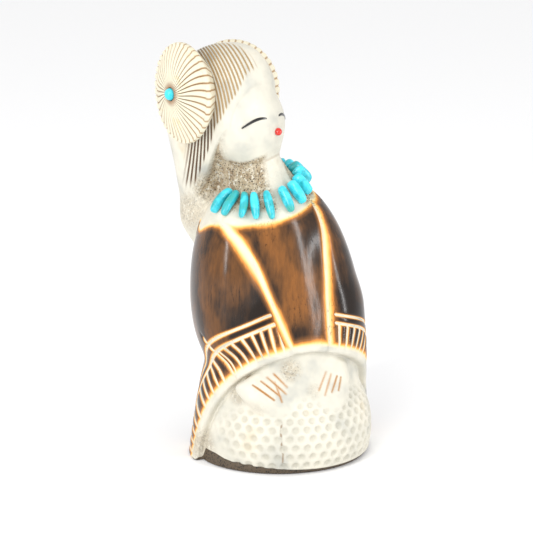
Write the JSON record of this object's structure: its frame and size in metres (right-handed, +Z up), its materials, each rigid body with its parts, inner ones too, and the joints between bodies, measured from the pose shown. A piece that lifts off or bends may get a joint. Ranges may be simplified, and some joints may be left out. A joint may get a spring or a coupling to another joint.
{
  "type": "carved antler fetish figure",
  "caption": "Carved antler figure of a seated maiden in a stained fringed shawl, hands on a dimpled basket, with inlaid stone necklace, hair whorl centres, eyes and mouth.",
  "frame": {"origin": "middle of the flat sawn base, on the surface that the figure stands on", "axes": "+Z up; -Y is the side of the chest and lap; +X is the figure's own left"},
  "size_m": [0.051, 0.0482, 0.1017],
  "materials": {
    "antler": "antler carved and sanded to a satin sheen, cream to white, its shawl stained a polished dark brown",
    "turquoise": "polished turquoise, blue to green with dark matrix",
    "coral": "polished red coral",
    "jet": "polished black jet"
  },
  "bodies": {
    "root": {"antler_figure": "antler", "whorl_stone_right": "turquoise", "whorl_stone_left": "turquoise", "eye_right": "jet", "eye_left": "jet", "mouth": "coral", "necklace_stone_01": "turquoise", "necklace_stone_02": "turquoise", "necklace_stone_03": "turquoise", "necklace_stone_04": "turquoise", "necklace_stone_05": "turquoise", "necklace_stone_06": "turquoise", "necklace_stone_07": "turquoise", "necklace_stone_08": "turquoise", "necklace_stone_09": "turquoise", "necklace_stone_10": "turquoise", "necklace_stone_11": "turquoise", "necklace_stone_12": "turquoise", "necklace_stone_13": "turquoise", "necklace_stone_14": "turquoise", "necklace_stone_15": "turquoise"}
  },
  "joints": []
}
